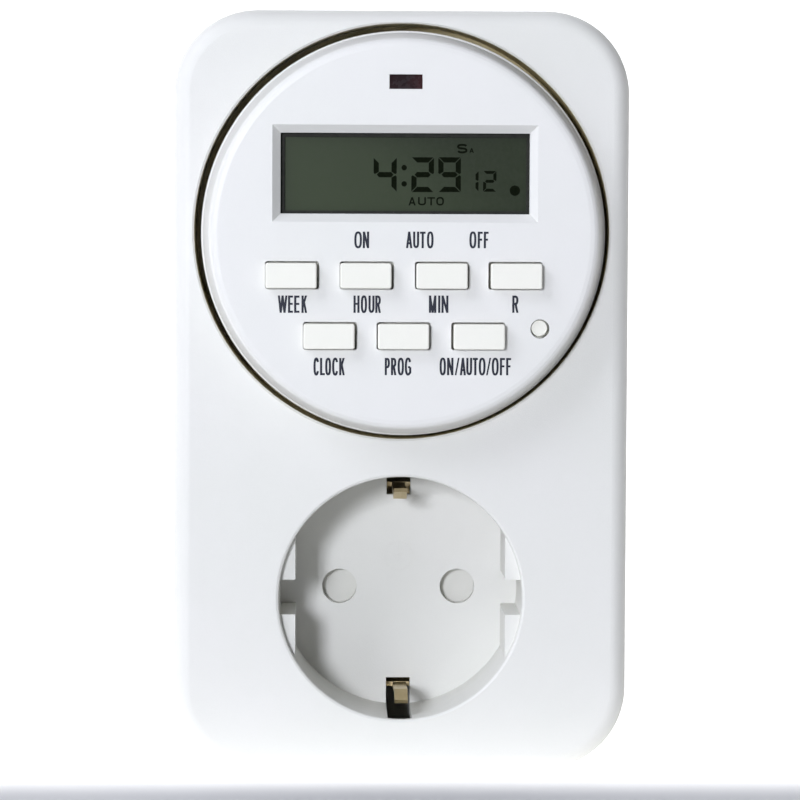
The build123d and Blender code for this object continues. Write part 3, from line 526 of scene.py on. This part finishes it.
# ------------------------------------------------------------------ printed legends on the module
m = Mat("legend_ink")
m.set(Base_Color=m.ramp(m.noise(1800, 3, 0.7), [(0.3, (0.006, 0.008, 0.018)), (0.75, (0.016, 0.018, 0.030))]),
      Roughness=m.maprange(m.noise(3000, 2), 0.3, 0.7, 0.42, 0.6), Specular_IOR_Level=0.3)
ink = m

# (word, z of its foot, z of its head, [(letter, left, right)...]) in mm from the module axis
LEGENDS = [
    ("on", -2.20, 0.36, [("O", -7.67, -6.48), ("N", -6.35, -5.37)]),
    ("auto", -2.17, 0.39, [("A", 0.33, 1.32), ("U", 1.43, 2.37), ("T", 2.48, 3.36), ("O", 3.57, 4.60)]),
    ("off", -2.14, 0.42, [("O", 10.15, 11.23), ("F", 11.44, 12.21), ("F", 12.38, 13.12)]),
    ("week", -12.24, -9.56, [("W", -19.48, -17.98), ("E", -17.90, -17.12), ("E", -16.95, -16.12),
                             ("K", -15.81, -14.93)]),
    ("hour", -12.21, -9.53, [("H", -7.76, -6.82), ("O", -6.63, -5.66), ("U", -5.44, -4.50), ("R", -4.39, -3.50)]),
    ("min", -12.17, -9.49, [("M", 3.92, 5.08), ("I", 5.33, 5.72), ("N", 5.87, 6.95)]),
    ("random", -12.13, -9.45, [("R", 16.85, 17.84)]),
    ("clock", -21.90, -19.22, [("C", -13.94, -13.05), ("L", -12.92, -12.16), ("O", -12.12, -11.20),
                               ("C", -11.05, -10.08), ("K", -9.95, -9.07)]),
    ("program", -21.86, -19.18, [("P", -2.88, -2.06), ("R", -1.92, -1.06), ("O", -0.89, 0.10), ("G", 0.22, 1.24)]),
    ("mode", -21.84, -19.14, [("O", 5.62, 6.61), ("N", 6.78, 7.78), ("/", 7.98, 8.72), ("A", 8.76, 9.72),
                              ("U", 9.76, 10.68), ("T", 10.77, 11.57), ("O", 11.70, 12.76), ("/", 12.84, 13.62),
                              ("O", 13.72, 14.80), ("F", 14.98, 15.77), ("F", 15.95, 16.72)]),
]
STROKE = 0.34
LEGEND_SCALE = 0.99543
for word, z0, z1, letters in LEGENDS:
    o = new_piece("legend_" + word, ink, "module_white")
    bm = bmesh.new()
    for ch, x0, x1 in letters:
        stroke = 0.26 if ch == "/" else STROKE
        gx0, gx1 = (DX + (x * LEGEND_SCALE - 0.056) * MM for x in (x0, x1))
        gz0, gz1 = (DZ + (z * LEGEND_SCALE + 0.034) * MM for z in (z0, z1))
        glyph(bm, ch, gx0, gx1, gz0, gz1, stroke * MM, disc_y - 0.000002, 0.000018)
    finish_mesh(o, bm)
    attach(o, "housing")

# ------------------------------------------------------------------ display characters
INK_Y, INK_T = lcd_y - 0.000004, 0.00002


def lcd(x, z):
    return LX + x * MM, LZ + z * MM


def seven(bm, x0, x1, z0, z1, on, w, slant=0.0, gap=0.09):
    """Seven-segment digit; segments a top, b upper right, c lower right, d bottom, e lower left, f upper left, g."""
    zm = (z0 + z1) / 2
    g, h = gap, w / 2

    def put(pts):
        prism(bm, [lcd(x + slant * (z - z0), z) for x, z in pts], INK_Y, INK_T)

    if "a" in on:
        put([(x0 + g, z1), (x1 - g, z1), (x1 - w - g, z1 - w), (x0 + w + g, z1 - w)])
    if "d" in on:
        put([(x0 + w + g, z0 + w), (x1 - w - g, z0 + w), (x1 - g, z0), (x0 + g, z0)])
    if "g" in on:
        put([(x0 + h + g, zm), (x0 + w + g * 0.6, zm + h), (x1 - w - g * 0.6, zm + h), (x1 - h - g, zm),
             (x1 - w - g * 0.6, zm - h), (x0 + w + g * 0.6, zm - h)])
    if "f" in on:
        put([(x0, z1 - g), (x0 + w, z1 - w - g), (x0 + w, zm + h + g * 0.6), (x0 + h * 0.5, zm + g), (x0, zm + g + h * 0.4)])
    if "b" in on:
        put([(x1 - w, z1 - w - g), (x1, z1 - g), (x1, zm + g + h * 0.4), (x1 - h * 0.5, zm + g), (x1 - w, zm + h + g * 0.6)])
    if "e" in on:
        put([(x0, z0 + g), (x0, zm - g - h * 0.4), (x0 + h * 0.5, zm - g), (x0 + w, zm - h - g * 0.6), (x0 + w, z0 + w + g)])
    if "c" in on:
        put([(x1 - w, z0 + w + g), (x1 - w, zm - h - g * 0.6), (x1 - h * 0.5, zm - g), (x1, zm - g - h * 0.4), (x1, z0 + g)])


def dot(bm, x, z, r, n=24):
    prism(bm, [lcd(x + r * math.cos(2 * math.pi * i / n), z + r * math.sin(2 * math.pi * i / n)) for i in range(n)],
          INK_Y, INK_T)


o = new_piece("display_time", lcd_ink, "lcd_glass")
bm = bmesh.new()
seven(bm, -4.86, -1.30, -2.86, 2.50, "fgbc", 0.80)
dot(bm, -0.14, 0.92, 0.42)
dot(bm, -0.14, -1.58, 0.42)
seven(bm, 0.98, 4.46, -2.84, 2.52, "abged", 0.80)
seven(bm, 5.14, 8.62, -2.82, 2.54, "abcdfg", 0.80)
finish_mesh(o, bm)
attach(o, "housing")

o = new_piece("display_seconds", lcd_ink, "lcd_glass")
bm = bmesh.new()
seven(bm, 9.36, 11.36, -2.74, 0.46, "bc", 0.46, gap=0.07)
seven(bm, 12.08, 14.12, -2.74, 0.46, "abged", 0.46, gap=0.07)
dot(bm, 17.0, -2.56, 0.80, 32)
finish_mesh(o, bm)
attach(o, "housing")

o = new_piece("display_words", lcd_ink, "lcd_glass")
bm = bmesh.new()
for ch, x0, x1, z0, z1, w in [("A", 0.55, 1.66, -4.90, -3.64, 0.24), ("U", 2.03, 3.24, -4.88, -3.62, 0.24),
                              ("T", 3.46, 4.64, -4.88, -3.62, 0.24), ("O", 4.84, 6.03, -4.87, -3.61, 0.24),
                              ("S", 8.02, 9.62, 3.16, 4.62, 0.30), ("A", 9.93, 10.62, 3.24, 3.97, 0.17)]:
    a, b = lcd(x0, z0), lcd(x1, z1)
    glyph(bm, ch, a[0], b[0], a[1], b[1], w * MM, INK_Y, INK_T)
finish_mesh(o, bm)
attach(o, "housing")

# ------------------------------------------------------------------ moulded ring on the well floor
floor_y = face_y + 0.0175
o = new_piece("well_floor_mark", housing, "housing_white")
bm = bmesh.new()
n = 48
for cx, cz, r0, r1 in ((0.0, 0.0048, 0.00215, 0.0024),):
    outer = [(cx + r1 * math.cos(2 * math.pi * i / n), cz + r1 * math.sin(2 * math.pi * i / n)) for i in range(n)]
    inner = [(cx + r0 * math.cos(2 * math.pi * i / n), cz + r0 * math.sin(2 * math.pi * i / n)) for i in range(n)]
    ring_prism(bm, outer, inner, floor_y + 0.00001, 0.00012)
for cx, cz, hw, hh in ((0.0, 0.0058, 0.0001, 0.0007), (0.0, 0.0051, 0.0008, 0.0001), (0.0, 0.0046, 0.00052, 0.0001),
                       (0.0, 0.0041, 0.00025, 0.0001)):
    prism(bm, [(cx - hw, cz - hh), (cx + hw, cz - hh), (cx + hw, cz + hh), (cx - hw, cz + hh)], floor_y + 0.00001,
          0.00011)
finish_mesh(o, bm)
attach(o, "housing")

# ------------------------------------------------------------------ floor, backdrop, light, camera
stage_mat = Mat("pale_stage")
stage_mat.set(Base_Color=stage_mat.ramp(stage_mat.noise(3, 2), [(0.3, (0.60, 0.60, 0.60)), (0.7, (0.64, 0.64, 0.64))]),
              Roughness=0.8, Specular_IOR_Level=0.1)
stage_mat.b.inputs["Emission Color"].default_value = (1, 1, 1, 1)
glow = stage_mat.maprange(stage_mat.axes()[1], -0.078, -0.050, 0.0, 0.95, True)
stage_mat.link(glow, stage_mat.b.inputs["Emission Strength"])

mesh = bpy.data.meshes.new("studio_sweep")
sweep = bpy.data.objects.new("studio_sweep", mesh)
scene.collection.objects.link(sweep)
bm = bmesh.new()
floor_z = cad_lo.z - 0.0001
prof = [(-1.6, floor_z), (0.35, floor_z)]
for i in range(1, 17):
    a = math.radians(90 * i / 16)
    prof.append((0.35 + 0.45 * math.sin(a), floor_z + 0.45 * (1 - math.cos(a))))
prof.append((0.80, floor_z + 2.0))
rows = [[bm.verts.new((x, y, z)) for y, z in prof] for x in (-1.8, 1.8)]
for i in range(len(prof) - 1):
    bm.faces.new((rows[0][i], rows[1][i], rows[1][i + 1], rows[0][i + 1]))
bmesh.ops.recalc_face_normals(bm, faces=bm.faces)
bm.to_mesh(mesh)
bm.free()
for p in mesh.polygons:
    p.use_smooth = True
mesh.materials.append(stage_mat.m)

world = bpy.data.worlds.new("studio")
scene.world = world
world.use_nodes = True
bg = world.node_tree.nodes.get("Background") or world.node_tree.nodes.new("ShaderNodeBackground")
bg.inputs["Color"].default_value = (0.80, 0.84, 1.0, 1)
bg.inputs["Strength"].default_value = 0.06


def area(name, at, to, size, power, colour=(1, 1, 1), size_y=None):
    d = bpy.data.lights.new(name, "AREA")
    d.energy = power
    d.color = colour
    d.shape = "RECTANGLE"
    d.size = size
    d.size_y = size_y or size
    o = bpy.data.objects.new(name, d)
    scene.collection.objects.link(o)
    o.location = at
    o.rotation_mode = "QUATERNION"
    o.rotation_quaternion = (Vector(to) - Vector(at)).to_track_quat("-Z", "Y")
    return o


aim = (0, face_y, 0.032)
area("key", (-0.44, face_y - 1.45, 0.26), aim, 0.24, 16.6, (0.88, 0.907, 1.0), 0.30)
area("broad", (-1.15, face_y - 0.75, 1.15), aim, 1.0, 21.0, (0.86, 0.89, 1.0))

cam = bpy.data.cameras.new("camera")
cam.sensor_width = 36.0
cam.lens = 158.83
cam.clip_start, cam.clip_end = 0.01, 20
camera = bpy.data.objects.new("camera", cam)
scene.collection.objects.link(camera)
pitch, yaw, roll = math.radians(3.466), math.radians(1.2275), math.radians(0.2311)
f = Vector((math.sin(yaw) * math.cos(pitch), math.cos(yaw) * math.cos(pitch), -math.sin(pitch)))
r = Vector((math.cos(yaw), -math.sin(yaw), 0))
u = r.cross(f)
r2 = r * math.cos(roll) + u * math.sin(roll)
u2 = u * math.cos(roll) - r * math.sin(roll)
rot = Matrix((r2, u2, -f)).transposed()
camera.matrix_world = Matrix.Translation((-0.01198, face_y - 0.550, 0.06449)) @ rot.to_4x4()
scene.camera = camera

scene.view_settings.view_transform = "Standard"
scene.view_settings.look = "None"
scene.view_settings.exposure = 0.0
scene.view_settings.gamma = 1.0
